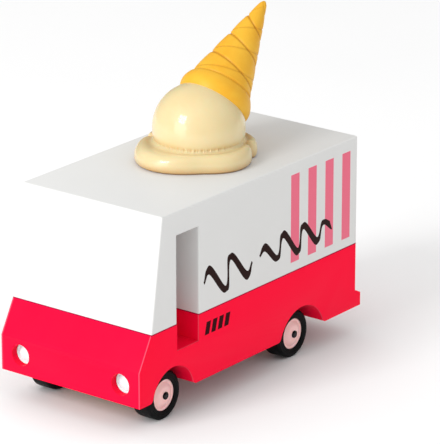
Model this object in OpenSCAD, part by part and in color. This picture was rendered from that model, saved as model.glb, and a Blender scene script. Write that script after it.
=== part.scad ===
// Toy ice cream truck: two painted wood blocks, four rolling wheels and a cone on the roof.
// +X is the front, +Y the truck's left and +Z up. The origin is on the ground, mid length, mid width.

/* [Body] */
// Length over the front face and the rear bumper
body_len = 91.6; // [84:0.1:112]
// Width over the sides
body_w = 44; // [38:0.5:54]
// Height of the flat roof above the ground
roof_z = 54.1; // [48:0.1:66]
// Height of the flat underside above the ground
floor_z = 7.5; // [7:0.1:8.5]
// Height of the joint between the red and the white block
split_z = 25.2; // [23:0.1:30]
// Height of the crease below the sloping hood
crease_z = 16.7; // [16:0.1:20]
// How far the hood slopes back between the crease and the joint
hood_run = 4.7; // [3:0.1:6]
// How far the windscreen face rakes back between the joint and the roof
screen_run = 4.3; // [2:0.1:6]
// How far the bumper stands out behind the rear wall
bumper_run = 1.9; // [1.5:0.1:3]
// Height of the bumper ledge where it meets the rear wall
bumper_z = 11.9; // [10:0.1:14]
// How far the ledge slopes down to its outer edge
bumper_drop = 1; // [0:0.1:1.5]
// Radius of the upright corners at the rear
corner_r = 0.9; // [0.5:0.1:2]
// Radius of the upright corners of the rear ledge
ledge_corner_r = 0.3; // [0.2:0.1:1]

/* [Doorway] */
// Distance from the front face to the doorway
door_setback = 14.6; // [13:0.1:20]
// Width of the doorway along the truck
door_len = 8.6; // [7:0.1:10.4]
// Height of the doorway's floor above the ground
sill_z = 18.2; // [17:0.1:21]
// Thickness of the roof above the doorway
header_t = 6.2; // [4:0.1:8]

/* [Headlights] */
// Diameter of the drilled headlight holes
light_d = 5.6; // [4:0.1:6.8]
// Distance of each headlight from the truck's middle
light_y = 15.9; // [12:0.1:16]
// Height of the headlights above the ground
light_z = 12.5; // [11.5:0.1:12.8]
// Depth of the white disc below the front face
light_recess = 1.9; // [1:0.1:3]
// Thickness of the white disc
light_t = 1; // [0.6:0.1:2]

/* [Wheels] */
// Diameter of the tyres
tyre_d = 12.66; // [12:0.1:13.4]
// Width of the tyres
tyre_w = 5.6; // [4:0.1:7]
// Radius of the tyres' rounded shoulders
tyre_round = 0.5; // [0.3:0.1:1.5]
// Diameter of the wheel discs that show inside the tyres
hub_d = 8.1; // [7:0.1:9]
// Depth of the channel around a wheel disc that holds its tyre
channel_t = 0.4; // [0.2:0.05:0.6]
// Width of the flange on each side of that channel
flange_w = 0.7; // [0.4:0.1:1.2]
// How far the wheel disc's lip is sunk below the tyre's side
lip_sunk = 0.45; // [0:0.05:0.8]
// Width of that lip
lip_w = 0.7; // [0.4:0.1:1]
// Depth of the groove inside the lip
groove_t = 0.15; // [0.05:0.05:0.4]
// How far the disc swells out from its lip to its middle
swell = 0.65; // [0.2:0.05:1]
// How far the tyres' outer sides stand inside the body's sides
wheel_inset = 2.8; // [1:0.1:4]
// Distance from the front face to the front axle
front_overhang = 13.1; // [12:0.1:16]
// Distance from the rear bumper to the rear axle
rear_overhang = 25.6; // [20:0.1:32]

/* [Axles] */
// Diameter of the axles
axle_d = 1.6; // [1.2:0.1:2]
// Radial gap between an axle and its block
axle_gap = 0.08; // [0.04:0.01:0.1]
// Gap between the tyre's inner side and the pocket's inner wall
side_gap = 1.1; // [0.6:0.1:2]
// Gap between a wheel's inner boss and the axle block
boss_gap = 0.3; // [0.2:0.05:0.5]
// Diameter of a wheel's inner boss
boss_d = 4; // [3:0.1:5]
// Diameter of the black cap ring on an axle's end
cap_d = 2.3; // [2.2:0.1:3]
// Thickness of the cap ring
cap_t = 0.3; // [0.2:0.1:0.8]
// How far the axle's end shows past the cap ring
axle_proud = 0.1; // [0:0.05:0.2]
// Width of the axle blocks along the truck
block_len = 8; // [6:0.1:10]
// How deep the axle blocks are let into the underside
block_seat = 3.5; // [2:0.1:5]
// Wall below an axle in its block
block_wall = 1; // [0.8:0.1:1.5]

/* [Wheel pockets] */
// Gap above the tyres in their pockets
arch_gap = 1.85; // [1.4:0.05:2.4]
// How much larger than the tyre the front arches are bent, in radius
front_ease = 1.85; // [1.4:0.05:2.4]
// How much larger than the tyre the rear arches are bent, in radius
rear_ease = 3.3; // [1.4:0.05:4]
// Radius of the rounded corners where the arches meet the underside
arch_round = 1.2; // [0.5:0.1:1.5]

/* [Ice cream] */
// How far behind the truck's middle the scoop stands
scoop_back = 5.6; // [-5:0.1:12]
// Diameter of the scoop
scoop_d = 23.6; // [20:0.1:28.4]
// Height of the scoop's centre above the roof
scoop_rise = 7.6; // [5:0.1:9]
// Diameter of the melted skirt's round core
skirt_d = 26.8; // [24:0.1:32]
// Height of the melted skirt
skirt_h = 5.3; // [3:0.1:6]
// Lean of the cone towards the rear
cone_lean = 45.6; // [20:0.1:46]
// Distance from the scoop's centre to the cone's mouth
mouth_rise = 7; // [6:0.1:9]
// Diameter of the cone's mouth
mouth_d = 19.2; // [16:0.1:20]
// Diameter of the rim band at its widest
band_d = 20; // [17:0.1:21]
// Width of the rim band along the cone
band_w = 5.5; // [4:0.1:7]
// Diameter of the cone just past the rim band
shank_d = 16.8; // [13:0.1:17]
// Length of the cone past the rim band
shank_len = 26; // [22:0.1:30]
// Diameter of the cone's blunt tip
tip_d = 2; // [1:0.1:4]

/* [Hidden] */
$fn = 96;
// Length by which a cut runs past the face that it opens
past = 1;
// Paint, rubber, plastic and metal colours
red = [0.93, 0.05, 0.2];
white = [0.95, 0.95, 0.93];
pink = [1, 0.69, 0.7];
black = [0.06, 0.06, 0.07];
steel = [0.75, 0.76, 0.78];
beech = [0.85, 0.69, 0.5];
cream = [0.97, 0.9, 0.7];
wafer = [0.97, 0.75, 0.3];
// Ends of the body
front_x = body_len / 2;
rear_x = -body_len / 2;
wall_x = rear_x + bumper_run;
hood_x = front_x - hood_run;
// Axle places: the tyres stand on the ground
tyre_r = tyre_d / 2;
axle_r = axle_d / 2;
front_axle_x = front_x - front_overhang;
rear_axle_x = rear_x + rear_overhang;
// Wheel planes, from the body's side inwards
side_y = body_w / 2;
tyre_out_y = side_y - wheel_inset;
tyre_in_y = tyre_out_y - tyre_w;
pocket_y = tyre_in_y - side_gap;
lip_y = tyre_out_y - lip_sunk;
middle_y = lip_y + swell;
axle_end_y = middle_y + cap_t + axle_proud;
// Channel between a wheel disc's flanges, which the tyre's rib fills
rib_low_y = tyre_in_y + flange_w;
rib_high_y = lip_y - flange_w;
// Depth of a wheel disc's channel floor and the boss that keeps the wheel off its block
channel_r = hub_d / 2 - channel_t;
boss_len = side_gap - boss_gap;
// Axle block heights
block_top = floor_z + block_seat;
block_low = tyre_r - axle_r - axle_gap - block_wall;
// Centre of the scoop above the ground
scoop_z = roof_z + scoop_rise;
// Melted lobes: direction from the front, how far each stands out of the round core, its radius
LOBES = [[-12, 4.3, 11.9], [78, 2.5, 9], [138, 1.3, 9.2], [200, 2.1, 9.5], [255, 1.8, 8.7]];
// Share of the rim band below its widest line
band_share = 0.3;

// Extrudes a side view, drawn as [x, z], across the truck's whole width.
module across(width) {
    translate([0, width / 2, 0]) rotate([90, 0, 0]) linear_extrude(width) children();
}

// Keeps what lies in front of the given x, with both upright corners rounded there.
module round_rear(back, r) {
    intersection() {
        children();
        linear_extrude(roof_z) {
            for (side = [-1, 1]) translate([back + r, side * (side_y - r)]) circle(r);
            translate([back, r - side_y]) square([body_len, body_w - 2 * r]);
            translate([back + r, -side_y]) square([body_len, body_w]);
        }
    }
}

// Doorway: one slot cut right through from side to side.
module doorway() {
    translate([front_x - door_setback - door_len, -side_y - past, sill_z])
        cube([door_len, body_w + 2 * past, roof_z - header_t - sill_z]);
}

// Round pocket for one wheel, open at the body's side and at the underside, where it flares out.
module wheel_pocket(x, ease, side) {
    arch_r = tyre_r + ease;
    arch_z = tyre_r + arch_gap - ease;
    // The rounding circles touch both the arch and the underside
    rise = floor_z + arch_round - arch_z;
    round_x = sqrt(pow(arch_r + arch_round, 2) - rise * rise);
    touch_z = arch_z + rise * arch_r / (arch_r + arch_round);
    depth = side_y + past - pocket_y;
    translate([x, side * (pocket_y + depth / 2), 0]) rotate([90, 0, 0]) {
        translate([0, arch_z, 0]) cylinder(h = depth, r = arch_r, center = true);
        difference() {
            translate([-round_x, floor_z - past, -depth / 2])
                cube([2 * round_x, touch_z - floor_z + past, depth]);
            for (end = [-1, 1]) translate([end * round_x, floor_z + arch_round, 0])
                cylinder(h = depth + 2 * past, r = arch_round, center = true);
        }
    }
}

// Bar that holds one axle, let into a groove across the underside.
module axle_bar(x) {
    translate([x - block_len / 2, -pocket_y, block_low])
        cube([block_len, 2 * pocket_y, block_top - block_low]);
}

// Axle bore through a bar.
module axle_bore(x) {
    translate([x, 0, tyre_r]) rotate([90, 0, 0])
        cylinder(h = body_w, r = axle_r + axle_gap, center = true);
}

// Headlight hole in the front face.
module light_hole(y) {
    translate([front_x - light_recess - light_t, y, light_z]) rotate([0, 90, 0])
        cylinder(h = light_recess + light_t + past, d = light_d);
}

// Red block: underside, bumper ledge, hood slope, wheel pockets and doorway floor.
module lower_body() {
    color(red) difference() {
        union() {
            round_rear(wall_x, corner_r) across(body_w)
                polygon([[wall_x, floor_z], [front_x, floor_z], [front_x, crease_z],
                    [hood_x, split_z], [wall_x, split_z]]);
            round_rear(rear_x, ledge_corner_r) across(body_w)
                polygon([[rear_x, floor_z], [wall_x + corner_r, floor_z], [wall_x + corner_r, bumper_z],
                    [wall_x, bumper_z], [rear_x, bumper_z - bumper_drop]]);
        }
        doorway();
        for (side = [-1, 1]) {
            wheel_pocket(front_axle_x, front_ease, side);
            wheel_pocket(rear_axle_x, rear_ease, side);
            light_hole(side * light_y);
        }
        axle_bar(front_axle_x);
        axle_bar(rear_axle_x);
    }
}

// White block: raked windscreen face, flat roof and the doorway.
module upper_body() {
    color(white) difference() {
        round_rear(wall_x, corner_r) across(body_w)
            polygon([[wall_x, split_z], [hood_x, split_z], [hood_x - screen_run, roof_z], [wall_x, roof_z]]);
        doorway();
    }
}

// White disc pressed to the bottom of a headlight hole.
module headlight(y) {
    color(white) translate([front_x - light_recess - light_t, y, light_z]) rotate([0, 90, 0])
        cylinder(h = light_t, d = light_d);
}

// Bored axle block.
module axle_block(x) {
    color(beech) difference() {
        axle_bar(x);
        axle_bore(x);
    }
}

// Steel axle from wheel to wheel.
module axle(x) {
    color(steel) translate([x, 0, tyre_r]) rotate([90, 0, 0])
        cylinder(h = 2 * axle_end_y, r = axle_r, center = true);
}

// Turns a section drawn as [radius, distance from the truck's middle] about an axle.
module turned(x, side) {
    translate([x, 0, tyre_r]) rotate([-90 * side, 0, 0]) rotate_extrude() children();
}

// Wheel disc: inner boss, two flanges with the tyre's channel between them, lip, groove and swelled middle.
module hub(x, side) {
    color(pink) turned(x, side) polygon([
        [axle_r, tyre_in_y - boss_len], [boss_d / 2, tyre_in_y - boss_len], [boss_d / 2, tyre_in_y],
        [hub_d / 2, tyre_in_y], [hub_d / 2, rib_low_y], [channel_r, rib_low_y],
        [channel_r, rib_high_y], [hub_d / 2, rib_high_y], [hub_d / 2, lip_y], [hub_d / 2 - lip_w, lip_y],
        [hub_d / 2 - lip_w, lip_y - groove_t], [cap_d / 2 + cap_t, middle_y], [axle_r, middle_y]]);
}

// Corner that rounding takes off a tyre's shoulder, drawn for the side away from the truck's middle.
module shoulder() {
    difference() {
        translate([-tyre_round, -tyre_round]) square(tyre_round + past);
        translate([-tyre_round, -tyre_round]) circle(tyre_round);
    }
}

// Rubber tyre with rounded shoulders and an inner rib that sits in the wheel disc's channel.
module tyre(x, side) {
    color(black) turned(x, side) difference() {
        union() {
            translate([channel_r, rib_low_y]) square([tyre_r - channel_r, rib_high_y - rib_low_y]);
            translate([hub_d / 2, tyre_in_y]) square([tyre_r - hub_d / 2, tyre_w]);
        }
        translate([tyre_r, tyre_out_y]) shoulder();
        translate([tyre_r, tyre_in_y]) mirror([0, 1]) shoulder();
    }
}

// Black ring pressed on an axle's end.
module cap(x, side) {
    color(black) turned(x, side)
        translate([axle_r, middle_y]) square([cap_d / 2 - axle_r, cap_t]);
}

// One melted lobe: a flat round drop with a half-round rim.
module lobe(r) {
    rim = skirt_h / 2;
    rotate_extrude() {
        square([r - rim, skirt_h]);
        intersection() {
            translate([r - rim, rim]) circle(rim);
            translate([r - rim, 0]) square([rim, skirt_h]);
        }
    }
}

// Cream scoop with its melted skirt, standing on the roof.
module scoop() {
    color(cream) translate([-scoop_back, 0, roof_z]) {
        intersection() {
            translate([0, 0, scoop_rise]) sphere(d = scoop_d);
            cylinder(h = scoop_rise + scoop_d, d = skirt_d);
        }
        lobe(skirt_d / 2);
        for (one = LOBES) rotate([0, 0, one[0]])
            translate([skirt_d / 2 + one[1] - one[2], 0, 0]) lobe(one[2]);
    }
}

// Wafer cone, tip up, with a rolled rim band and a round seat in its mouth for the scoop.
module cone() {
    color(wafer) translate([-scoop_back, 0, scoop_z]) rotate([0, -cone_lean, 0]) difference() {
        rotate_extrude() polygon([[0, mouth_rise], [mouth_d / 2, mouth_rise],
            [band_d / 2, mouth_rise + band_share * band_w], [shank_d / 2, mouth_rise + band_w],
            [tip_d / 2, mouth_rise + band_w + shank_len], [0, mouth_rise + band_w + shank_len]]);
        sphere(d = scoop_d);
    }
}

lower_body();
upper_body();
headlight(light_y);  // headlight_left
headlight(-light_y);  // headlight_right
axle_block(front_axle_x);  // front_axle_block
axle_block(rear_axle_x);  // rear_axle_block
axle(front_axle_x);  // front_axle
axle(rear_axle_x);  // rear_axle
hub(front_axle_x, 1);  // front_left_hub
hub(front_axle_x, -1);  // front_right_hub
hub(rear_axle_x, 1);  // rear_left_hub
hub(rear_axle_x, -1);  // rear_right_hub
tyre(front_axle_x, 1);  // front_left_tyre
tyre(front_axle_x, -1);  // front_right_tyre
tyre(rear_axle_x, 1);  // rear_left_tyre
tyre(rear_axle_x, -1);  // rear_right_tyre
cap(front_axle_x, 1);  // front_left_cap
cap(front_axle_x, -1);  // front_right_cap
cap(rear_axle_x, 1);  // rear_left_cap
cap(rear_axle_x, -1);  // rear_right_cap
scoop();
cone();
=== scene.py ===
# %% [markdown]
# # A toy ice cream truck
# The real object is a palm-size toy: two blocks of beech, one lacquered red and one white, four
# rubber-tyred wheels on two steel axles, and a cast ice cream cone that has landed upside down on the
# roof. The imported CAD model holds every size. Here each piece gets its finished surface and its paint.

import math

import bmesh
import bpy
import numpy as np
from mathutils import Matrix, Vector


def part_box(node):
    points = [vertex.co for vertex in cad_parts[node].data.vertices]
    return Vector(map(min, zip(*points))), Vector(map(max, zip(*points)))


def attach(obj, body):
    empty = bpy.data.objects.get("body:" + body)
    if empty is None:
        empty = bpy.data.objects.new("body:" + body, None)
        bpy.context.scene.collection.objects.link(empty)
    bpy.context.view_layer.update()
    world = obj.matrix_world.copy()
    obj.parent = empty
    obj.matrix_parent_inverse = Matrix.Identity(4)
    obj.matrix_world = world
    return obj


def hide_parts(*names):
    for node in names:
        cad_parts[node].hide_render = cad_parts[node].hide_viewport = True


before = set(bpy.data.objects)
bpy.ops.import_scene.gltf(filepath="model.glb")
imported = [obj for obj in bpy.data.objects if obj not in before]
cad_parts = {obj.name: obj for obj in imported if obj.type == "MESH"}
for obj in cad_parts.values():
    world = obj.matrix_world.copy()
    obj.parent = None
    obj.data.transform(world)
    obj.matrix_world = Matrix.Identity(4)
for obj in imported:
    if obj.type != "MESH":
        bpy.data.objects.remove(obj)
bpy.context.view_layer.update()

# %% [markdown]
# ## The view
# The camera looks at the toy's front left corner from a little above, through a long lens that keeps
# its sides nearly parallel. It comes first, so that every piece is judged from the same place. It could
# be aimed by a constraint. Here an aim point, a direction and a distance place it, because those three
# are easy to reason about.

# %% Camera
MM = 0.001
VIEW_TURN = math.radians(37.68)
VIEW_RISE = math.radians(19.22)
VIEW_DISTANCE = 881.5 * MM
VIEW_AIM = np.array([-7.36, 5.38, 37.28]) * MM
LENS_MM = 282.9
SENSOR_MM = 36
FAR_CLIP = 20

camera = bpy.data.objects.new("camera", bpy.data.cameras.new("camera"))
bpy.context.scene.collection.objects.link(camera)
camera.data.lens = LENS_MM
camera.data.sensor_width = SENSOR_MM
camera.data.clip_end = FAR_CLIP
towards_camera = np.array([
    math.cos(VIEW_TURN) * math.cos(VIEW_RISE),
    math.sin(VIEW_TURN) * math.cos(VIEW_RISE),
    math.sin(VIEW_RISE),
])
camera.location = VIEW_AIM + towards_camera * VIEW_DISTANCE
camera.rotation_euler = (math.pi / 2 - VIEW_RISE, 0, math.pi / 2 + VIEW_TURN)
bpy.context.scene.camera = camera
print("camera at, metres:", [round(v, 3) for v in camera.location])

# %% [markdown]
# ## Sizes that come from the frame
# Wheel centres, tyre and hub radii, the roof's height and the body's sides could be typed in again. They
# are read from the boxes of the CAD nodes instead, in metres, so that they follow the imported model.

# %% Sizes
def span(node):
    """Lowest and highest corner of a CAD node as arrays, in metres."""
    low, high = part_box(node)
    return np.array(low), np.array(high)


upper_low, upper_high = span("upper_body")
ROOF_Z = upper_high[2]
SIDE_Y = upper_high[1]
SPLIT_Z = upper_low[2]
AXLES = {}
for axle_end in ("front", "rear"):
    axle_low, axle_high = span(axle_end + "_axle")
    AXLES[axle_end] = (axle_low + axle_high) / 2
TYRE_R = span("front_left_tyre")[1][2] - AXLES["front"][2]
HUB_R = span("front_left_hub")[1][2] - AXLES["front"][2]
AXLE_R = span("front_axle")[1][2] - AXLES["front"][2]
print("roof", round(ROOF_Z / MM, 2), "mm")
print("tyre radius", round(TYRE_R / MM, 2), "hub radius", round(HUB_R / MM, 2), "mm")

# %% [markdown]
# ## Skins from grids
# Almost everything round on this toy is a grid of points: one direction runs along a section, the other
# goes right round. A Screw modifier could sweep a plain section, but not a scoop or a grooved cone, so
# one helper joins any such grid into a closed skin. It merges the seam and the poles, then turns all
# faces outwards, so no face is left open or inside out.

# %% Grid skins
MERGE = 1e-8


def skin(name, grid, attribute=None):
    """Closed skin over a grid of points: rows run along the section and columns go right round.
    Quad (i, j) joins points (i, j), (i, j+1), (i+1, j+1) and (i+1, j), with j counted in a circle."""
    rows, columns = grid.shape[:2]
    index = np.arange(rows * columns).reshape(rows, columns)
    beside = np.roll(index, -1, axis=1)
    quads = np.stack([index[:-1], beside[:-1], beside[1:], index[1:]], axis=-1).reshape(-1, 4)
    mesh = bpy.data.meshes.new(name)
    mesh.from_pydata(grid.reshape(-1, 3).tolist(), [], quads.tolist())
    if attribute is not None:
        values = mesh.attributes.new("shade", "FLOAT", "POINT")
        values.data.foreach_set("value", attribute.ravel().astype(np.float32))
    shell = bmesh.new()
    shell.from_mesh(mesh)
    bmesh.ops.remove_doubles(shell, verts=shell.verts, dist=MERGE)
    bmesh.ops.recalc_face_normals(shell, faces=shell.faces)
    shell.to_mesh(mesh)
    shell.free()
    mesh.polygons.foreach_set("use_smooth", np.ones(len(mesh.polygons), bool))
    piece = bpy.data.objects.new(name, mesh)
    bpy.context.scene.collection.objects.link(piece)
    return piece


def seat(piece, body, slot, material, *nodes):
    """Gives a finished piece its paint, the body that it rides on and the CAD nodes it stands for."""
    piece.data.materials.clear()
    piece.data.materials.append(material)
    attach(piece, body)
    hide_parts(*nodes)
    print(piece.name, "faces", len(piece.data.polygons), "on", body)


# %% [markdown]
# ### Soft corners
# Turned pieces need soft corners, because a moulded or lathed edge always catches a thin line of light.
# A Bevel modifier could round them all by one width. Here a section is drawn by its corners only, and
# each corner is swapped for a small curve with its own radius. Two extra points just outside each curve
# keep the flats flat when the surface is shaded smooth.

# %% Turned pieces
CURVE_SHARE = 0.35
GUARD_REACH = 1.25
GUARD_SHARE = 0.45


def eased(corners, radius, steps=6, closed=True):
    """Section with each corner C replaced by the curve (1-t)^2 A + 2t(1-t) C + t^2 B, where A and B lie
    `radius` before and after C on its two edges, or CURVE_SHARE of a short edge. Returns rows of
    (distance from axis, distance along)."""
    corner = np.array(corners, float)
    radius = np.broadcast_to(np.asarray(radius, float), (len(corner),))[:, None]
    sides = []
    for step in (1, -1):
        edge = np.roll(corner, step, axis=0) - corner
        length = np.linalg.norm(edge, axis=1, keepdims=True)
        sides.append((edge / length, length))
    near = [corner + way * np.minimum(radius, CURVE_SHARE * length) for way, length in sides]
    far = [corner + way * np.minimum(GUARD_REACH * radius, GUARD_SHARE * length) for way, length in sides]
    t = np.linspace(0, 1, steps)[None, :, None]
    arc = (1 - t) ** 2 * near[0][:, None] + 2 * t * (1 - t) * corner[:, None] + t**2 * near[1][:, None]
    path = np.concatenate([far[0][:, None], arc, far[1][:, None]], axis=1)
    if closed:
        path = path.reshape(-1, 2)
        return np.concatenate([path, path[:1]])
    return np.concatenate([corner[:1], path[1:-1].reshape(-1, 2), corner[-1:]])


def turned(name, section, centre, axis, columns=144):
    """Surface of revolution: point = centre + s axis + r (cos a U + sin a W), for each row (r, s) of the
    section and each angle a, with U and W square to the axis."""
    axis = np.array(axis, float)
    helper = np.array([0, 0, 1.0])
    across = np.cross(axis, helper)
    angle = np.linspace(0, 2 * np.pi, columns, endpoint=False)
    ring = np.cos(angle)[:, None] * helper + np.sin(angle)[:, None] * across
    grid = centre + section[:, 1][:, None, None] * axis + section[:, 0][:, None, None] * ring
    return skin(name, grid)


# %% [markdown]
# ## Finishes
# A finish could be an image wrapped round its piece. Every finish here is built from nodes that read the
# piece's own coordinates, so it needs no unwrapping, and it stays put when a wheel rolls. A few short
# helpers keep the node trees readable: one adds a node and fills its sockets, one does arithmetic, one
# makes noise that can be stretched along an axis.

# %% Node helpers
def add_node(tree, kind, inputs=(), **settings):
    """Adds a node, sets its settings, and fills its inputs with numbers or with other nodes' outputs."""
    made = tree.nodes.new(kind)
    for name, value in settings.items():
        setattr(made, name, value)
    for key, value in dict(inputs).items():
        if isinstance(value, bpy.types.NodeSocket):
            tree.links.new(value, made.inputs[key])
        else:
            made.inputs[key].default_value = value
    return made


def calc(tree, operation, *values):
    """Output of one Math node."""
    return add_node(tree, "ShaderNodeMath", dict(enumerate(values)), operation=operation).outputs[0]


def place(tree, stretch=(1, 1, 1), turn=(0, 0, 0)):
    """The piece's own coordinates, scaled and turned."""
    own = add_node(tree, "ShaderNodeTexCoord").outputs["Object"]
    return add_node(tree, "ShaderNodeMapping", {"Vector": own, "Scale": stretch, "Rotation": turn}).outputs[0]


def noise(tree, per_mm, stretch=(1, 1, 1), detail=3, rough=0.5):
    """Smooth noise with about per_mm lumps in each millimetre before stretching."""
    inputs = {"Vector": place(tree, stretch), "Scale": per_mm / MM, "Detail": detail, "Roughness": rough}
    return add_node(tree, "ShaderNodeTexNoise", inputs).outputs["Fac"]


def tint(tree, share, first, second):
    """Colour that goes from first to second as share goes from 0 to 1."""
    mix = add_node(tree, "ShaderNodeMix", {"Factor": share}, data_type="RGBA")
    for socket, value in ((mix.inputs[6], first), (mix.inputs[7], second)):
        if isinstance(value, bpy.types.NodeSocket):
            tree.links.new(value, socket)
        else:
            socket.default_value = (*value, 1)
    return mix.outputs[2]


def spread(tree, value, low, high, out_low, out_high):
    """Maps low..high to out_low..out_high, clamped."""
    inputs = {"Value": value, "From Min": low, "From Max": high, "To Min": out_low, "To Max": out_high}
    return add_node(tree, "ShaderNodeMapRange", inputs).outputs[0]


def patches(tree, per_mm, low, high, stretch=(1, 1, 1), **settings):
    """Noise whose middle part is spread from low to high: soft patches of one finish in another."""
    return spread(tree, noise(tree, per_mm, stretch, **settings), 0.3, 0.7, low, high)


def finish(name, colour, rough, height=None, depth=0.0, **sockets):
    """Principled material. colour(tree) and rough(tree) return sockets; height(tree) returns the relief,
    whose full swing is depth metres. Other sockets are plain numbers set on the shader itself."""
    material = bpy.data.materials.new(name)
    material.use_nodes = True
    tree = material.node_tree
    shader = tree.nodes["Principled BSDF"]
    tree.links.new(colour(tree), shader.inputs["Base Color"])
    tree.links.new(rough(tree), shader.inputs["Roughness"])
    if height is not None:
        inputs = {"Height": height(tree), "Strength": 1.0, "Distance": depth}
        relief = add_node(tree, "ShaderNodeBump", inputs)
        tree.links.new(relief.outputs[0], shader.inputs["Normal"])
    for key, value in sockets.items():
        shader.inputs[key.replace("_", " ")].default_value = value
    return material


# %% [markdown]
# ### Lacquer on beech
# The blocks are sprayed with several coats of gloss lacquer. Under it the grain is filled but not quite
# gone: long faint ripples run the length of the block, and the spray itself leaves a fine orange peel.
# Both could be modelled, but they are only thousandths of a millimetre deep, so a Bump node does. The
# lacquer's specular level is low, so that the deep red and the clean white aren't washed out.

# %% Lacquer
GRAIN = (0.06, 1, 1)
LACQUER_DEPTH = 0.004 * MM
LACQUER_SHINE = {"Specular_IOR_Level": 0.04}


def lacquer_relief(tree):
    """Grain ripples stretched along the block, plus fine orange peel."""
    grain = noise(tree, 0.9, GRAIN, detail=4)
    peel = noise(tree, 2.6, detail=1)
    return calc(tree, "ADD", calc(tree, "MULTIPLY", grain, 0.6), calc(tree, "MULTIPLY", peel, 0.4))


def lacquer_rough(tree):
    """Slightly uneven shine, in patches stretched along the grain."""
    return patches(tree, 0.25, 0.3, 0.4, GRAIN)


def shaded(tree, colour, deeper):
    """Colour with a faint cloudy drift towards a deeper tone, as sprayed paint has."""
    drift = spread(tree, noise(tree, 0.08, detail=2), 0.35, 0.65, 0, 0.35)
    return tint(tree, drift, colour, deeper)


# %% [markdown]
# ### Printed trim
# Both sides carry four pink bars behind the doorway and a flowing brush line in two runs, and there is
# a row of four small slanted dashes on the red. They could be thin shapes or an image. They are flat
# prints, so they belong in the paint. Each print is a mask: bars repeat by counting pitches along the
# side, and the brush line is a sine wave whose stroke swells on the way down, measured by its true
# distance from the curve.

# %% Print masks
BAR_START, BAR_PITCH, BAR_W = -15.0 * MM, 7.3 * MM, 3.55 * MM
BAR_LOW, BAR_HIGH = 27.7 * MM, 51.0 * MM
DASH_START, DASH_PITCH, DASH_W = 20.3 * MM, 2.6 * MM, 1.75 * MM
DASH_LOW, DASH_HIGH, DASH_LEAN = 18.9 * MM, 22.2 * MM, -0.25
PRINT_DEPTH = 0.4 * MM
BRUSH_LEAN, BRUSH_TAPER = 0.42, 0.45
BRUSH_THIN, BRUSH_SWELL = 0.34 * MM, 0.92 * MM


def side_axes(tree):
    """x and z on the block's side, and 1 where the surface is on either side face."""
    parts = add_node(tree, "ShaderNodeSeparateXYZ", {0: place(tree)})
    on_side = calc(tree, "GREATER_THAN", calc(tree, "ABSOLUTE", parts.outputs[1]), SIDE_Y - PRINT_DEPTH)
    return parts.outputs[0], parts.outputs[2], on_side


def within(tree, value, low, high):
    """1 where value lies between low and high."""
    above = calc(tree, "GREATER_THAN", value, low)
    return calc(tree, "MULTIPLY", above, calc(tree, "LESS_THAN", value, high))


def bars(tree, x, z, start, pitch, width, low, high, count=4):
    """Row of upright bars: 1 where the fraction of (start - x) / pitch is under width / pitch."""
    steps = calc(tree, "DIVIDE", calc(tree, "SUBTRACT", start, x), pitch)
    in_bar = calc(tree, "LESS_THAN", calc(tree, "FRACT", steps), width / pitch)
    in_row = calc(tree, "MULTIPLY", within(tree, steps, 0, count), within(tree, z, low, high))
    return calc(tree, "MULTIPLY", in_bar, in_row)


def brush_wave(tree, x, z, start, end, wavelength, middle, swing):
    """Brush line z = middle + swing sin(2 pi s / wavelength), where s = start - x + lean (z - middle) is
    the way along the run. The swing dies away at both ends as sin(pi s / length)^taper. The distance
    from the line is |z - wave| / sqrt(1 + slope^2), and the stroke is widest where the wave falls."""
    rise = calc(tree, "SUBTRACT", z, middle)
    leant = calc(tree, "SUBTRACT", x, calc(tree, "MULTIPLY", rise, BRUSH_LEAN))
    along = calc(tree, "SUBTRACT", start, leant)
    share = spread(tree, along, 0, start - end, 0, 1)
    arch = calc(tree, "SINE", calc(tree, "MULTIPLY", share, math.pi))
    size = calc(tree, "MULTIPLY", swing, calc(tree, "POWER", arch, BRUSH_TAPER))
    phase = calc(tree, "MULTIPLY", along, 2 * math.pi / wavelength)
    wave = calc(tree, "MULTIPLY", calc(tree, "SINE", phase), size)
    turn = calc(tree, "COSINE", phase)
    slope = calc(tree, "MULTIPLY", calc(tree, "MULTIPLY", turn, size), 2 * math.pi / wavelength)
    gap = calc(tree, "ABSOLUTE", calc(tree, "SUBTRACT", rise, wave))
    steep = calc(tree, "SQRT", calc(tree, "ADD", calc(tree, "MULTIPLY", slope, slope), 1.0))
    falling = spread(tree, turn, -1, 1, 1, 0)
    stroke = calc(tree, "ADD", BRUSH_THIN, calc(tree, "MULTIPLY", falling, BRUSH_SWELL))
    line = calc(tree, "LESS_THAN", calc(tree, "DIVIDE", gap, steep), stroke)
    return calc(tree, "MULTIPLY", line, within(tree, along, 0, start - end))


# %% [markdown]
# ### Painted colours
# Paint is thick where it runs into a joint, so the red is darker along its top. The red is also
# lighter on the eased edges just inside the sides: a painted highlight, where those edges catch the light.
# A strong red block also throws a pink cast on a white table, which could be left as it falls. Here a
# Light Path node greys the paint for bounced light only, so that the shadow stays nearly neutral. The
# doorway is left out, because the red glow on its white walls belongs.

# %% Painted materials
WHITE, WHITE_DEEP = (0.705, 0.705, 0.695), (0.685, 0.685, 0.67)
RED, RED_DEEP, EDGE_HIGHLIGHT_RED = (0.99, 0.003, 0.04), (0.97, 0.002, 0.035), (1.0, 0.13, 0.2)
PINK_BAR, BROWN_INK, DARK_INK = (0.80, 0.165, 0.245), (0.018, 0.004, 0.003), (0.03, 0.001, 0.003)
BOUNCE_CUT, BOUNCE_TONE, DOOR_FOOT = 0.75, (0.16, 0.13, 0.13), 17.5 * MM
JOINT_SHADE, JOINT_LINE = (0.4, 0.0, 0.04), 0.22 * MM
# Painted highlight on the eased edges beside the sides: its band, margin from the side face and share
EDGE_HIGHLIGHT_LINE, EDGE_HIGHLIGHT_MARGIN, EDGE_HIGHLIGHT_SHARE = 0.34 * MM, 0.04 * MM, 0.6
# Each run of the brush line: start, end, wavelength, middle height and swing
LONG_WAVE = (-2.0 * MM, -32.2 * MM, 8.6 * MM, 33.2 * MM, 3.0 * MM)
SHORT_WAVE = (20.6 * MM, 1.0 * MM, 9.8 * MM, 32.6 * MM, 4.0 * MM)


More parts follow.
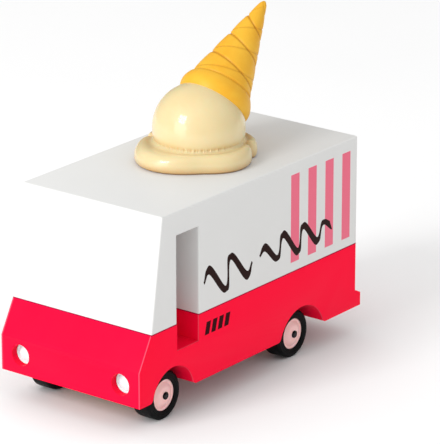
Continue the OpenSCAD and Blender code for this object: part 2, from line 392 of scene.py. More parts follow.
def white_colour(tree):
    """White lacquer with the pink bars and the brown brush line over them."""
    x, z, on_side = side_axes(tree)
    pink = bars(tree, x, z, BAR_START, BAR_PITCH, BAR_W, BAR_LOW, BAR_HIGH)
    long_run = brush_wave(tree, x, z, *LONG_WAVE)
    short_run = brush_wave(tree, x, z, *SHORT_WAVE)
    brown = calc(tree, "MAXIMUM", long_run, short_run)
    base = tint(tree, calc(tree, "MULTIPLY", pink, on_side), shaded(tree, WHITE, WHITE_DEEP), PINK_BAR)
    return tint(tree, calc(tree, "MULTIPLY", brown, on_side), base, BROWN_INK)


def red_colour(tree):
    """Red lacquer with four short slanted dashes, a painted highlight on the eased edges beside
    the sides, darker where it runs into the joint, and greyer for bounced light outside the doorway."""
    x, z, on_side = side_axes(tree)
    slant = calc(tree, "MULTIPLY", calc(tree, "SUBTRACT", z, DASH_LOW), DASH_LEAN)
    slanted = calc(tree, "SUBTRACT", x, slant)
    dark = bars(tree, slanted, z, DASH_START, DASH_PITCH, DASH_W, DASH_LOW, DASH_HIGH)
    joint = calc(tree, "GREATER_THAN", z, SPLIT_Z - JOINT_LINE)
    across = calc(tree, "ABSOLUTE", add_node(tree, "ShaderNodeSeparateXYZ", {0: place(tree)}).outputs[1])
    # Painted highlight: the eased edges next to the side faces are lightened as if they caught the light
    beside = within(tree, across, SIDE_Y - EDGE_HIGHLIGHT_LINE, SIDE_Y - EDGE_HIGHLIGHT_MARGIN)
    edge = calc(tree, "MULTIPLY", beside, EDGE_HIGHLIGHT_SHARE)
    base = tint(tree, edge, shaded(tree, RED, RED_DEEP), EDGE_HIGHLIGHT_RED)
    base = tint(tree, joint, base, JOINT_SHADE)
    base = tint(tree, calc(tree, "MULTIPLY", dark, on_side), base, DARK_INK)
    bounced = add_node(tree, "ShaderNodeLightPath").outputs["Is Diffuse Ray"]
    # Off the side faces and above DOOR_FOOT are the doorway's inside and the hood
    off_side = calc(tree, "SUBTRACT", 1.0, on_side)
    in_doorway = calc(tree, "MULTIPLY", calc(tree, "GREATER_THAN", z, DOOR_FOOT), off_side)
    share = calc(tree, "MULTIPLY", bounced, spread(tree, in_doorway, 0, 1, BOUNCE_CUT, 0))
    return tint(tree, share, base, BOUNCE_TONE)


lacquer_look = (lacquer_rough, lacquer_relief, LACQUER_DEPTH)
white_lacquer = finish("white lacquer", white_colour, *lacquer_look, **LACQUER_SHINE)
red_lacquer = finish("red lacquer", red_colour, *lacquer_look, **LACQUER_SHINE)
print("lacquers:", white_lacquer.name, "and", red_lacquer.name)

# %% [markdown]
# ## The two blocks
# The body is sawn, milled and sanded beech. It could be modelled again, but the CAD shapes are already
# right, so a copy of each is merged and its flat faces are joined up again. A narrow Bevel then eases
# every edge as sanding does. Along the joint between the colours the easing is finer, which leaves only
# a thin groove there.

# %% Eased blocks
EASE = 0.4 * MM
JOINT_EASE = 0.45
EASE_SEGMENTS = 4
WELD = 0.002 * MM
FLAT_ANGLE = math.radians(0.5)
JOINT_REACH = 0.01 * MM


def mark_ridges(mesh, least=14):
    """Clears the bevel weight of every edge whose two faces meet at less than `least` degrees."""
    ridges = bmesh.new()
    ridges.from_mesh(mesh)
    weights = ridges.edges.layers.float.get("bevel_weight_edge")
    for edge in ridges.edges:
        if len(edge.link_faces) != 2 or edge.calc_face_angle(0) < math.radians(least):
            edge[weights] = 0
    ridges.to_mesh(mesh)
    ridges.free()


def eased_block(name, node, width, joint_z=None):
    """Copy of a CAD block with merged points, joined flats and bevelled edges. Edges whose two ends lie
    at height joint_z get a bevel JOINT_EASE times as wide."""
    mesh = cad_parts[node].data.copy()
    mesh.name = name
    block = bmesh.new()
    block.from_mesh(mesh)
    bmesh.ops.remove_doubles(block, verts=block.verts, dist=WELD)
    bmesh.ops.dissolve_limit(block, angle_limit=FLAT_ANGLE, verts=block.verts, edges=block.edges)
    bmesh.ops.recalc_face_normals(block, faces=block.faces)
    block.to_mesh(mesh)
    block.free()
    points = np.empty(len(mesh.vertices) * 3, np.float32)
    mesh.vertices.foreach_get("co", points)
    points = points.reshape(-1, 3)
    ends = np.empty(len(mesh.edges) * 2, np.int32)
    mesh.edges.foreach_get("vertices", ends)
    weight = np.ones(len(mesh.edges), np.float32)
    if joint_z is not None:
        at_joint = np.abs(points[ends.reshape(-1, 2), 2] - joint_z) < JOINT_REACH
        weight[at_joint.all(axis=1)] = JOINT_EASE
    mesh.attributes.new("bevel_weight_edge", "FLOAT", "EDGE").data.foreach_set("value", weight)
    mesh.polygons.foreach_set("use_smooth", np.ones(len(mesh.polygons), bool))
    piece = bpy.data.objects.new(name, mesh)
    bpy.context.scene.collection.objects.link(piece)
    mark_ridges(mesh)
    bevel = piece.modifiers.new("eased edges", "BEVEL")
    bevel.limit_method = "WEIGHT"
    bevel.width = width
    bevel.segments = EASE_SEGMENTS
    bevel.harden_normals = True
    bevel.use_clamp_overlap = True
    return piece


upper_block = eased_block("white_block", "upper_body", EASE, SPLIT_Z)
lower_block = eased_block("red_block", "lower_body", EASE, SPLIT_Z)
seat(upper_block, "truck_body", "white_paint", white_lacquer, "upper_body")
seat(lower_block, "truck_body", "red_paint", red_lacquer, "lower_body")

# %% [markdown]
# ## Headlights
# Each light is a white plug pressed to the bottom of a drilled hole. Its face is a shallow dome inside
# a narrow rim, so it picks up a soft highlight. It could start from a cylinder that is bevelled. It is
# turned like a button instead, one section and one sweep, because that gives the dome as well.

# %% Headlights
LIGHT_RIM, LIGHT_STEP, LIGHT_DOME = 0.45 * MM, 0.3 * MM, 0.35 * MM
DOME_GAP, LIGHT_EASE = 0.1 * MM, 0.12 * MM
DOME_STEPS = 14


def light_colour(tree):
    """Cool white with the faintest mottling of moulded plastic."""
    return tint(tree, noise(tree, 0.6), (0.93, 0.95, 0.96), (0.9, 0.92, 0.94))


def light_rough(tree):
    """Satin shine with slight patches."""
    return patches(tree, 1.2, 0.22, 0.32)


light_plastic = finish("headlight plastic", light_colour, light_rough, lambda tree: noise(tree, 1.5),
                       0.002 * MM, Subsurface_Weight=0.15, Subsurface_Scale=0.6 * MM)


def light_section(radius, thick):
    """Plug section from its back to its domed face: (r, s) rows in metres. The dome's height is
    dome (1 - t^2), where t goes from 1 at its edge to 0 in the middle."""
    inner, sunk = radius - LIGHT_RIM, thick - LIGHT_STEP
    corners = [(0, 0), (radius, 0), (radius, thick), (inner, thick), (inner, sunk), (0, sunk)]
    wall = eased(corners, LIGHT_EASE, closed=False)[:-1]
    reach = np.linspace(1, 0, DOME_STEPS)
    face = np.stack([reach * (inner - DOME_GAP), sunk + LIGHT_DOME * (1 - reach**2)], axis=1)
    return np.concatenate([wall, face])


for light_side in ("left", "right"):
    node_name = "headlight_" + light_side
    light_low, light_high = span(node_name)
    light_back = (light_low + light_high) / 2
    light_back[0] = light_low[0]
    section = light_section((light_high[2] - light_low[2]) / 2, light_high[0] - light_low[0])
    plug = turned(node_name + "_plug", section, light_back, (1, 0, 0), 96)
    seat(plug, "truck_body", "lamp_white", light_plastic, node_name)

# %% [markdown]
# ## Wheels
# A wheel is four turned pieces: a pink moulded disc with a fine lip and a swelled middle, a rubber tyre
# snapped into the disc's channel, and a black ring that is pushed over the blackened steel axle. They
# could be bevelled cylinders. All are sections swept round the axle, because one list of corners then
# holds every lip, groove and step. The tyre's side has two fine moulded rings and a stepped shoulder.

# %% Wheel finishes
DRAWN = (1, 0.05, 1)
DULL_BLACK = 0.08


def rubber_colour(tree):
    """Near-black with a dusty grey drift."""
    dust = spread(tree, noise(tree, 0.5), 0.3, 0.75, 0, 1)
    return tint(tree, dust, (0.003, 0.0035, 0.004), (0.007, 0.0075, 0.008))


def rubber_rough(tree):
    """Dull rubber with slow patches that are a little shinier."""
    return patches(tree, 0.9, 0.42, 0.58)


def pink_colour(tree):
    """Moulded pink with slow variation."""
    return tint(tree, noise(tree, 0.3), (0.99, 0.61, 0.59), (0.98, 0.56, 0.54))


def pink_rough(tree):
    """Semi-gloss plastic."""
    return patches(tree, 0.8, 0.3, 0.42)


def steel_colour(tree):
    """Blackened steel, drawn along the axle."""
    return tint(tree, noise(tree, 3, DRAWN), (0.02, 0.02, 0.022), (0.06, 0.06, 0.065))


def steel_rough(tree):
    """Fine drawing marks."""
    return patches(tree, 4, 0.25, 0.4, DRAWN)


rubber = finish("tyre rubber", rubber_colour, rubber_rough, lambda tree: noise(tree, 5), 0.006 * MM,
                Specular_IOR_Level=DULL_BLACK)
pink_plastic = finish("pink plastic", pink_colour, pink_rough, lambda tree: noise(tree, 2), 0.003 * MM,
                      Subsurface_Weight=0.2, Subsurface_Scale=0.7 * MM)
axle_steel = finish("blackened steel", steel_colour, steel_rough, lambda tree: noise(tree, 4, DRAWN),
                    0.002 * MM, Metallic=1.0)
cap_plastic = finish("black plastic", rubber_colour, light_rough, lambda tree: noise(tree, 3), 0.002 * MM,
                     Specular_IOR_Level=DULL_BLACK)
print("wheel finishes:", rubber.name, pink_plastic.name, axle_steel.name, cap_plastic.name)


# %% [markdown]
# ### Wheel sections
# Each section is a closed list of corners, given as distance from the axle and distance from the truck's
# middle. The radii come from the frame, and the fine steps are small sizes of their own.

# %% Wheel sections
CHANNEL = 0.4 * MM
FLANGE = 0.7 * MM
LIP_SUNK = 0.45 * MM
RING = 0.07 * MM
RING_RADII = (HUB_R + 0.5 * MM, HUB_R + 0.95 * MM)
RING_HALF, RING_FOOT = 0.06 * MM, 0.12 * MM
SHOULDER = 0.5 * MM
BOSS_R = 2 * MM


def tyre_section(inside, outside):
    """Tyre section: (r, s) corners round the rubber, with two raised rings and a shoulder step outside."""
    floor, rib_top = HUB_R - CHANNEL, outside - LIP_SUNK - FLANGE
    step, side = TYRE_R - SHOULDER, outside - RING
    rings = []
    for centre in RING_RADII:
        rings += [(centre - RING_FOOT, side), (centre - RING_HALF, outside),
                  (centre + RING_HALF, outside), (centre + RING_FOOT, side)]
    corners = [(floor, inside + FLANGE), (floor, rib_top), (HUB_R, rib_top), (HUB_R, side), *rings,
               (step, side), (step + 0.08 * MM, outside - 0.28 * MM),
               (TYRE_R, outside - SHOULDER), (TYRE_R, inside + SHOULDER), (step, inside),
               (HUB_R, inside), (HUB_R, inside + FLANGE)]
    radii = [0.1, 0.1, 0.1, 0.15, *[0.05] * 8, 0.12, 0.1, 0.4, 0.5, 0.4, 0.15, 0.1]
    return eased(corners, np.array(radii) * MM, steps=7)


def hub_section(inside, outside, boss_end, middle):
    """Disc section: inner boss, channel between two flanges, rounded lip, fine groove, swelled middle."""
    floor, lip = HUB_R - CHANNEL, outside - LIP_SUNK
    back = [(AXLE_R, boss_end), (BOSS_R, boss_end), (BOSS_R, inside), (HUB_R, inside)]
    channel = [(HUB_R, inside + FLANGE), (floor, inside + FLANGE), (floor, lip - FLANGE),
               (HUB_R, lip - FLANGE)]
    rim = [(HUB_R, lip), (HUB_R - 0.45 * MM, lip), (HUB_R - 0.66 * MM, lip - 0.24 * MM),
           (HUB_R - 0.95 * MM, lip - 0.04 * MM)]
    face = [(2.2 * MM, 0.25 * lip + 0.75 * middle), (1.3 * MM, middle), (AXLE_R, middle)]
    corners = [*back, *channel, *rim, *face]
    radii = [0.1, 0.2, 0.2, 0.15, 0.1, 0.1, 0.1, 0.1, 0.2, 0.12, 0.08, 0.2, 0.5, 0.3, 0.05]
    return eased(corners, np.array(radii) * MM, steps=6)


def ring_section(low, high, outer):
    """Push-on ring: a square section with a well rounded outer corner."""
    return eased([(AXLE_R, low), (outer, low), (outer, high), (AXLE_R, high)],
                 np.array([0.05, 0.1, 0.28, 0.12]) * MM)


def rod_section(end):
    """Axle section from end to end, with a chamfer at both."""
    chamfer = 0.3 * MM
    return eased([(0, -end), (AXLE_R - chamfer, -end), (AXLE_R, chamfer - end), (AXLE_R, end - chamfer),
                  (AXLE_R - chamfer, end), (0, end)], 0.08 * MM, closed=False)


# %% [markdown]
# ### All four wheels
# The wheels could be made once and copied. They are swept in place by one loop, because a finished piece
# keeps its place in its mesh, and the right side is the same sweep along the opposite axis.

# %% Build the wheels
CAP_INSET, CAP_TUCK = 0.18 * MM, 0.05 * MM

for axle_end, axle_centre in AXLES.items():
    wheels = axle_end + "_wheels"
    rod_end = span(axle_end + "_axle")[1][1]
    rod = turned(axle_end + "_axle_rod", rod_section(rod_end), axle_centre, (0, 1, 0), 96)
    seat(rod, wheels, "steel", axle_steel, axle_end + "_axle")
    for side_name, side in (("left", 1), ("right", -1)):
        stem = f"{axle_end}_{side_name}_"
        reach = {}
        for part_name in ("tyre", "hub", "cap"):
            part_low, part_high = span(stem + part_name)
            reach[part_name] = sorted(np.abs([part_low[1], part_high[1]]))
        tyre_in, tyre_out = reach["tyre"]
        cap_in, cap_out = reach["cap"]
        tyre = turned(stem + "tyre_rubber", tyre_section(tyre_in, tyre_out), axle_centre, (0, side, 0), 160)
        seat(tyre, wheels, "black_rubber", rubber, stem + "tyre")
        disc_section = hub_section(tyre_in, tyre_out, *reach["hub"])
        disc = turned(stem + "hub_disc", disc_section, axle_centre, (0, side, 0), 144)
        seat(disc, wheels, "pink_plastic", pink_plastic, stem + "hub")
        cap_r = span(stem + "cap")[1][2] - axle_centre[2] - CAP_INSET
        cap_section = ring_section(cap_in - CAP_TUCK, cap_out, cap_r)
        ring = turned(stem + "cap_ring", cap_section, axle_centre, (0, side, 0), 72)
        seat(ring, wheels, "black_cap", cap_plastic, stem + "cap")

# %% [markdown]
# ## Axle blocks
# Under the truck two bars of bare beech are let into grooves, and the axles turn in them. Each is the
# CAD block with its edges eased, as for the body. Beech shows short dark flecks along its grain over a
# pale, slightly rosy ground. A Wave texture could make the grain. A stretched noise for the grain and a
# sharper one for the flecks look less regular.

# %% Axle blocks
ALONG_BAR, ALONG_FLECK = (1, 0.08, 1), (1, 0.16, 1)
BAR_EASE = 0.25 * MM


def beech_colour(tree):
    """Pale beech with grain along the bar and short brown flecks."""
    ground = tint(tree, noise(tree, 0.8, ALONG_BAR, detail=5), (0.62, 0.4, 0.22), (0.5, 0.29, 0.14))
    flecks = spread(tree, noise(tree, 3.5, ALONG_FLECK, detail=2), 0.62, 0.7, 0, 0.6)
    return tint(tree, flecks, ground, (0.25, 0.12, 0.05))


bare_beech = finish("bare beech", beech_colour, lambda tree: patches(tree, 2, 0.5, 0.65, ALONG_BAR),
                    lambda tree: noise(tree, 2.5, ALONG_BAR, detail=4), 0.02 * MM)
for axle_end in AXLES:
    bar = eased_block(axle_end + "_beech_bar", axle_end + "_axle_block", BAR_EASE)
    seat(bar, "truck_body", "bare_wood", bare_beech, axle_end + "_axle_block")

# %% [markdown]
# ## The scoop
# The scoop is one glossy casting: a ball that has landed and spread into a melted skirt. It could be
# sculpted. It is a single skin over the angle round it and the way down its side, because each feature
# then has its own number. Down to where ball meets skirt the section is a circle, and from there a
# smooth spline runs through a gutter, over the rim and under to the roof. How far the rim reaches is a
# blend of soft lobes, with two narrow clefts where neighbouring lobes part.

# %% Scoop sizes
BALL_R = 11.8 * MM
BALL_BACK = 5.6 * MM
BALL_CENTRE = np.array([-BALL_BACK, 0, span("scoop")[1][2] - BALL_R])
BALL_RISE = BALL_CENTRE[2] - ROOF_Z
CORE = 13.2
# Each lobe and cleft: direction in degrees, reach in mm and width in degrees
LOBES = np.array([[-13, 4.5, 52], [72, 2.7, 38], [134, 1.6, 21], [182, 2.4, 28], [232, 2.2, 26],
                  [275, 1.6, 18]])
CLEFTS = np.array([[116, 1.5, 5], [-68, 1.2, 6]])
print("ball centre, mm:", (BALL_CENTRE / MM).round(2), "rise above the roof:", round(BALL_RISE / MM, 2))


def away(angle, centre):
    """Difference of two directions in degrees, between -180 and 180."""
    return (angle - centre + 180) % 360 - 180


def rim_reach(angle):
    """Reach in mm for a direction d away: core + fourth root of the sum of (h exp(-(d/w)^2))^4 over the
    lobes, less the sum of h exp(-(d/w)^2) over the clefts."""
    bumps = LOBES[:, 1] * np.exp(-((away(angle[:, None], LOBES[:, 0]) / LOBES[:, 2]) ** 2))
    cuts = CLEFTS[:, 1] * np.exp(-((away(angle[:, None], CLEFTS[:, 0]) / CLEFTS[:, 2]) ** 2))
    return CORE + (bumps**4).sum(axis=1) ** 0.25 - cuts.sum(axis=1)


def spline(controls, steps):
    """Uniform cubic B-spline drawn along a row of control points: weights (1-t)^3, 3t^3-6t^2+4,
    -3t^3+3t^2+3t+1 and t^3, each over 6, on four neighbours. The end points are used three times, so
    that the curve starts and ends on them."""
    ends = np.concatenate([controls[:1], controls[:1], controls, controls[-1:], controls[-1:]])
    t = np.linspace(0, 1, steps, endpoint=False)
    weights = np.stack([(1 - t) ** 3, 3 * t**3 - 6 * t**2 + 4, -3 * t**3 + 3 * t**2 + 3 * t + 1, t**3]) / 6
    runs = len(ends) - 3
    pieces = [np.einsum("wt,w...->t...", weights, ends[i:i + 4]) for i in range(runs)]
    return np.concatenate([*pieces, controls[-1:]])


# %% [markdown]
# ### Crumbs at the crease
# The crumbs where the scoop tore away from its tub are a short, sharp ripple round the crease. A noise
# could make them. Three sines of unlike pitch are added instead, so that the row closes on itself after
# one turn and no crumb looks like the next. The ripple fades out above and below the crease.

# %% Scoop skin
CREASE_Z, CREST_Z, FULL_WIDTH = 5.05 * MM, 4.75 * MM, 2.6 * MM
# The skirt's section: share of the way out to the rim, and share of the crest's height after the crease
RIM_OUT = (0, 0.1, 0.24, 0.5, 0.76, 0.93, 1.0, 1.0, 0.93, 0.86)
RIM_UP = (0.955, 0.925, 0.985, 0.93, 0.72, 0.48, 0.24, 0.06, 0)
BALL_ROWS = 80
CRUMB_DEPTH, CRUMB_RISE, CRUMB_WIDTH = 0.085 * MM, 0.34 * MM, 1.2 * MM
SWELL_DEPTH = 0.045 * MM


def scoop_grid(columns=480):
    """Points of the whole scoop: ball from pole to crease, skirt by spline, then the flat foot. The
    radius gains crumbs, depth exp(-(dz / rise)^2) times three sines, and a slow swell of two sines."""
    turn = np.linspace(0, 360, columns, endpoint=False)
    reach = rim_reach(turn) * MM
    angle = np.radians(turn)
    crease_polar = np.arccos((CREASE_Z - BALL_RISE) / BALL_R)
    polar = np.linspace(0, crease_polar, BALL_ROWS)[:, None] * np.ones(columns)
    ball_r, ball_z = BALL_R * np.sin(polar), BALL_RISE + BALL_R * np.cos(polar)
    crease_r = BALL_R * math.sin(crease_polar)
    wide = reach - crease_r
    crest = CREST_Z * np.clip(wide / FULL_WIDTH, 0.55, 1)
    height = [CREASE_Z + 0 * crest, *(up * crest for up in RIM_UP)]
    controls = np.stack([np.stack([crease_r + out * wide, up], axis=-1) for out, up in zip(RIM_OUT, height)])
    skirt = spline(controls, 10)
    foot = skirt[-1][None] * np.array([0.6, 1])
    pole = skirt[-1][None] * np.array([0.0, 1])
    r = np.concatenate([ball_r, skirt[1:, :, 0], foot[..., 0], pole[..., 0]])
    z = np.concatenate([ball_z, skirt[1:, :, 1], foot[..., 1], pole[..., 1]])
    ripple = np.sin(47 * angle + 1.3) + 0.9 * np.sin(83 * angle + 0.5) + 0.9 * np.sin(121 * angle + 2.2)
    near_crease = np.exp(-(((z - CREASE_Z) / CRUMB_RISE) ** 2)) * (np.abs(r - crease_r) < CRUMB_WIDTH)
    crumbly = 0.25 + 0.75 * np.exp(-((away(turn, 38) / 45) ** 2))
    r = r + CRUMB_DEPTH * near_crease * ripple * crumbly
    broad = np.sin(3 * angle + 0.4) * np.sin(2.6 * z / BALL_R + 0.7)
    small = 0.6 * np.sin(7 * angle + 1.9 + 5 * z / BALL_R)
    r = r + SWELL_DEPTH * (broad + small) * (z > 0.3 * MM) * np.clip(r / (4 * MM), 0, 1)
    grid = np.stack([r * np.cos(angle), r * np.sin(angle), z + 0 * angle], axis=-1)
    return grid + [BALL_CENTRE[0], 0, ROOF_Z]


# %% [markdown]
# ### Cream
# The casting is sprayed cream. Its hollows get painted shade: a deeper, browner cream that stands in
# for the shade that gathers there. The hollows could be painted by hand. An Ambient Occlusion node finds
# them, because it measures how much surface stands close by. The brown foot line is a painted contact
# shadow under the rim, a ramp on the height above the roof.

# %% Cream finish
# Cream and its slow cloud tone, then the painted shade for its hollows
CREAM, CREAM_WARM, CREAM_HOLLOW_SHADE = (0.75, 0.62, 0.34), (0.74, 0.59, 0.31), (0.58, 0.28, 0.06)
# Painted contact shadow at the foot: start and top height of its ramp, and its brown
FOOT_START, FOOT_LINE, FOOT_SHADOW_BROWN = 0.15 * MM, 0.55 * MM, (0.2, 0.09, 0.02)
CREAM_REACH = 8 * MM


def painted_hollow_shade(tree, reach):
    """Share of painted shade: 0 on open surface and up to 1 in hollows, judged by how much surface lies
    within `reach`.
    """
    open_share = add_node(tree, "ShaderNodeAmbientOcclusion", {"Distance": reach}, samples=16).outputs["AO"]
    return spread(tree, open_share, 0.1, 0.75, 1, 0)


def cream_colour(tree):
    """Vanilla cream, a touch yellower in slow clouds, with painted shade in the hollows and a painted contact
    shadow in brown at the foot.
    """
    clouds = spread(tree, noise(tree, 0.12, detail=3), 0.35, 0.65, 0, 1)
    ground = tint(tree, clouds, CREAM, CREAM_WARM)
    # Painted shade: deeper cream in the hollows found by Ambient Occlusion
    ground = tint(tree, calc(tree, "MULTIPLY", painted_hollow_shade(tree, CREAM_REACH), 0.95), ground, CREAM_HOLLOW_SHADE)
    # Painted contact shadow: brown just above the roof, under the skirt's rim
    up = add_node(tree, "ShaderNodeSeparateXYZ", {0: place(tree)}).outputs[2]
    foot = spread(tree, up, ROOF_Z + FOOT_START, ROOF_Z + FOOT_LINE, 0.9, 0)
    return tint(tree, foot, ground, FOOT_SHADOW_BROWN)


def cream_relief(tree):
    """Soft lumps and fine pores of a painted casting."""
    lumps = noise(tree, 0.35, detail=2)
    pores = noise(tree, 3.0, detail=2)
    return calc(tree, "ADD", calc(tree, "MULTIPLY", lumps, 0.85), calc(tree, "MULTIPLY", pores, 0.15))


cream_gloss = finish("cream gloss", cream_colour, lambda tree: patches(tree, 0.5, 0.36, 0.46),
                     cream_relief, 0.014 * MM, Coat_Weight=0.7, Coat_Roughness=0.08,
                     Subsurface_Weight=0.15, Subsurface_Scale=1.5 * MM)
scoop_skin = skin("scoop_casting", scoop_grid())
seat(scoop_skin, "truck_body", "cream_plastic", cream_gloss, "scoop")

# %% [markdown]
# ## The cone
# A rolled wafer cone has a smooth rim band, then two helices cross on it, one pressed deep and one
# faint, and leave plump lozenges between them. The grooves could be cut by a displaced texture. Here the
# skin is worked out over the distance from the ball and the angle round the axis, because the grooves
# then meet exactly at the seam. Each helix is a phase that rises by one per turn, and the groove sits
# where the phase is a whole number. The same groove depth is stored on the points, so that the wafer's
# paint can darken in the grooves: painted shade, where shade gathers in them.

# %% Cone skin
LEAN = math.radians(45.6)
CONE_AXIS = np.array([-math.sin(LEAN), 0, math.cos(LEAN)])
CONE_UP = np.array([math.cos(LEAN), 0, math.sin(LEAN)])
CONE_SIDE = np.array([0, 1.0, 0])
HELIX_START = math.radians(-53)
# Distances from the ball's centre, radii and depths, all in mm
BAND_START, BAND_END, TIP_END, TIP_LENGTH = 7.0, 12.5, 38.35, 1.3
MOUTH_R, BAND_CLOSE, BAND_BULGE = 9.6, 1.3, 0.42
SHANK_R, SHANK_PAST = 8.15, 2.2
DEEP_FROM, DEEP_PITCH, DEEP_CUT = 19.5, 6.75, 0.3
FAINT_FROM, FAINT_PITCH, FAINT_CUT = 19.9, 6.9, 0.13
GROOVE_WIDTH, RIM_CUT = 0.3, 0.28


def groove(phase, pitch, width):
    """Groove depth 0..1 = exp(-(gap / width)^2), where gap is the distance in mm to the nearest turn,
    and the plump profile 1 - (1 - 2 gap / pitch)^2 between turns."""
    gap = np.abs(phase - np.round(phase)) * pitch
    return np.exp(-((gap / width) ** 2)), 1 - (1 - 2 * gap / pitch) ** 2


def cone_grid(rows=330, columns=250):
    """Points centre + d axis + r (cos a up + sin a side), with r = taper + pillows - grooves. The rows
    before the rim follow the ball, d = sqrt(ball radius^2 - r^2), and close the cone's mouth."""
    angle = np.linspace(0, 2 * np.pi, columns, endpoint=False)
    turn = (angle - HELIX_START) / (2 * np.pi)
    lean_round = (1 - np.cos(angle - HELIX_START)) / 2
    d = np.linspace(BAND_START, TIP_END, rows)[:, None]
    band_t = np.clip((d - BAND_START) / (BAND_END - BAND_START), 0, 1)
    band = MOUTH_R - BAND_CLOSE * band_t**2 + BAND_BULGE * np.sin(np.pi * band_t**0.75)
    band = band - 0.75 * (1 - lean_round) * np.exp(-((d - BAND_START) / 2.4) ** 2)
    taper = SHANK_R * (TIP_END + SHANK_PAST - d) / (TIP_END + SHANK_PAST - BAND_END)
    past_band = np.clip((d - BAND_END) / 0.7, 0, 1)
    past_band = past_band**2 * (3 - 2 * past_band)
    deep_phase = (d - DEEP_FROM + 1.8 * lean_round) / DEEP_PITCH + turn
    faint_phase = (d - FAINT_FROM - 0.9 * lean_round) / FAINT_PITCH - turn
    deep, plump_a = groove(deep_phase, DEEP_PITCH, GROOVE_WIDTH)
    faint, plump_b = groove(faint_phase, FAINT_PITCH, GROOVE_WIDTH)
    fade = past_band * np.clip((TIP_END - d) / 5, 0.25, 1)
    cut = DEEP_CUT * deep * fade + FAINT_CUT * faint * fade
    rim_cut = RIM_CUT * np.exp(-(((d - BAND_END - 0.1) / 0.3) ** 2))
    pillow = (0.16 * plump_a + 0.05 * plump_b - 0.04) * fade
    r = band * (1 - past_band) + taper * past_band + pillow - cut - rim_cut
    into_tip = np.clip(d - (TIP_END - TIP_LENGTH), 0, TIP_LENGTH) / TIP_LENGTH
    r = np.maximum(r, 0.02) * np.sqrt(np.clip(1 - into_tip**2, 0, 1))
    bottom = np.linspace(0, 1, 30)[:, None] * np.ones(columns)
    seat_r = bottom * r[:1]
    seat_d = np.sqrt(BALL_R**2 / MM**2 - seat_r**2) + 0.02
    r = np.concatenate([seat_r, r])
    d = np.concatenate([seat_d, d * np.ones(columns)])
    # Groove depth kept for the wafer's painted groove shade
    painted_groove_shade = deep * fade * 0.9 + faint * fade * 0.5 + rim_cut * 1.6 * np.ones(columns)
    depth = np.concatenate([0 * seat_r, painted_groove_shade])
    ring = np.cos(angle)[:, None] * CONE_UP + np.sin(angle)[:, None] * CONE_SIDE
    grid = BALL_CENTRE + MM * (d[..., None] * CONE_AXIS + r[..., None] * ring)
    return grid, np.clip(depth, 0, 1)


# %% [markdown]
# ### Wafer
# A baked wafer is golden, toasted in soft patches, and sandy to the touch. One flat yellow would look
# like plastic. A slow noise mixes in the toasted tone. The stored groove depth and the hollow test mix in
# browner tones as painted shade, where shade gathers in the grooves and hollows. Two noises make the
# sandy relief.

# %% Wafer finish
WAFER, WAFER_WARM = (0.80, 0.44, 0.03), (0.78, 0.38, 0.016)
# Painted shade for the hollows, then painted shade for the grooves
WAFER_HOLLOW_SHADE, WAFER_GROOVE_SHADE = (0.68, 0.24, 0.008), (0.38, 0.13, 0.004)
WAFER_REACH = 6 * MM


def wafer_colour(tree):
    """Golden wafer that toasts towards brown in soft patches, with painted shade in the grooves and hollows.
    """
    # Painted shade: browner in the grooves, from the stored groove depth
    groove_shade_share = add_node(tree, "ShaderNodeAttribute", attribute_name="shade").outputs["Fac"]
    clouds = spread(tree, noise(tree, 0.22, detail=4), 0.35, 0.7, 0, 1)
    ground = tint(tree, clouds, WAFER, WAFER_WARM)
    # Painted shade: deeper tone in the hollows found by Ambient Occlusion
    ground = tint(tree, calc(tree, "MULTIPLY", painted_hollow_shade(tree, WAFER_REACH), 0.8), ground, WAFER_HOLLOW_SHADE)
    return tint(tree, calc(tree, "MULTIPLY", groove_shade_share, 0.55), ground, WAFER_GROOVE_SHADE)


def wafer_relief(tree):
    """Fine sandy grain of the wafer."""
    lumps = calc(tree, "MULTIPLY", noise(tree, 0.7, detail=3), 0.6)
    sand = calc(tree, "MULTIPLY", noise(tree, 4.5, detail=2), 0.4)
    return calc(tree, "ADD", lumps, sand)


wafer_satin = finish("wafer satin", wafer_colour, lambda tree: patches(tree, 0.8, 0.4, 0.52),
                     wafer_relief, 0.02 * MM, Specular_IOR_Level=0.3)
cone_points, cone_depth = cone_grid()
cone_skin = skin("wafer_cone", cone_points, cone_depth)
seat(cone_skin, "truck_body", "wafer_plastic", wafer_satin, "cone")

# %% [markdown]
# ## Studio
# The toy stands on a seamless white table under a bright, even sky. A square softbox high in front puts
# a highlight on the scoop and throws the soft shadow back and to the side. A wide white card low in
# front lifts the hood and the windscreen. An even sky alone would also show in the lacquer as a pale
# veil. So a Light Path node dims the sky for glossy rays, as a dark studio would. The Standard view
# transform keeps the paints as they are mixed.

# %% Table
TABLE_REACH = 3


def floor_colour(tree):
    """Clean white with the faintest unevenness."""
    return tint(tree, noise(tree, 0.004), (0.97, 0.97, 0.97), (0.95, 0.95, 0.95))


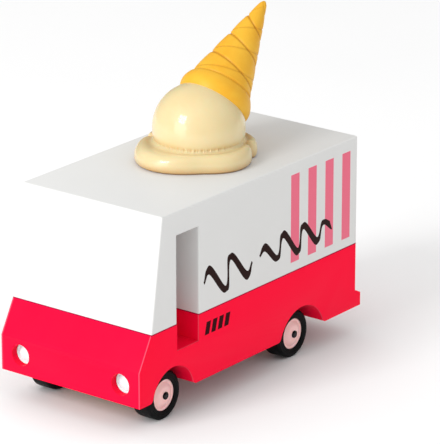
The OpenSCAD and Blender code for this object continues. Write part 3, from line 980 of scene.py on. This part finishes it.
table_white = finish("white table", floor_colour, lambda tree: patches(tree, 0.01, 0.75, 0.85))
grid_line = np.linspace(-TABLE_REACH, TABLE_REACH, 3)
table_points = np.stack([*np.meshgrid(grid_line, grid_line, indexing="ij"), np.zeros((3, 3))], axis=-1)
table_mesh = bpy.data.meshes.new("table")
table_mesh.from_pydata(table_points.reshape(-1, 3).tolist(), [],
                       [(i, i + 3, i + 4, i + 1) for i in (0, 1, 3, 4)])
table = bpy.data.objects.new("table", table_mesh)
bpy.context.scene.collection.objects.link(table)
table_mesh.materials.append(table_white)
print("table, metres across:", 2 * TABLE_REACH)

# %% Lights and sky
SKY, DARK_ROOM = 0.9, 0.12
KEY_FROM, CARD_FROM = np.array([0.83, -0.12, 0.56]), np.array([1, -0.16, 0.1])
AIM_HEIGHT = 0.04


def softbox(name, towards, distance, size, watts):
    """Square area light at `distance` along `towards`, turned to face the toy."""
    way = towards / np.linalg.norm(towards)
    light = bpy.data.objects.new(name, bpy.data.lights.new(name, "AREA"))
    bpy.context.scene.collection.objects.link(light)
    light.data.shape = "SQUARE"
    light.data.size = size
    light.data.energy = watts
    light.location = way * distance + np.array([0, 0, AIM_HEIGHT])
    light.rotation_euler = (math.acos(way[2]), 0, math.pi / 2 + math.atan2(way[1], way[0]))
    print(name, "at, metres:", [round(v, 2) for v in light.location])


softbox("softbox", KEY_FROM, 1.1, 0.34, 5.0)
softbox("white card", CARD_FROM, 1.3, 0.8, 5.6)

sky = bpy.data.worlds.new("sky")
bpy.context.scene.world = sky
sky.use_nodes = True
sky_tree = sky.node_tree
seen_in_gloss = add_node(sky_tree, "ShaderNodeLightPath").outputs["Is Glossy Ray"]
backdrop = sky_tree.nodes["Background"]
backdrop.inputs["Color"].default_value = (1, 1, 1, 1)
sky_tree.links.new(spread(sky_tree, seen_in_gloss, 0, 1, SKY, DARK_ROOM), backdrop.inputs["Strength"])
bpy.context.scene.view_settings.view_transform = "Standard"
print("sky", SKY, "and in reflections", DARK_ROOM)
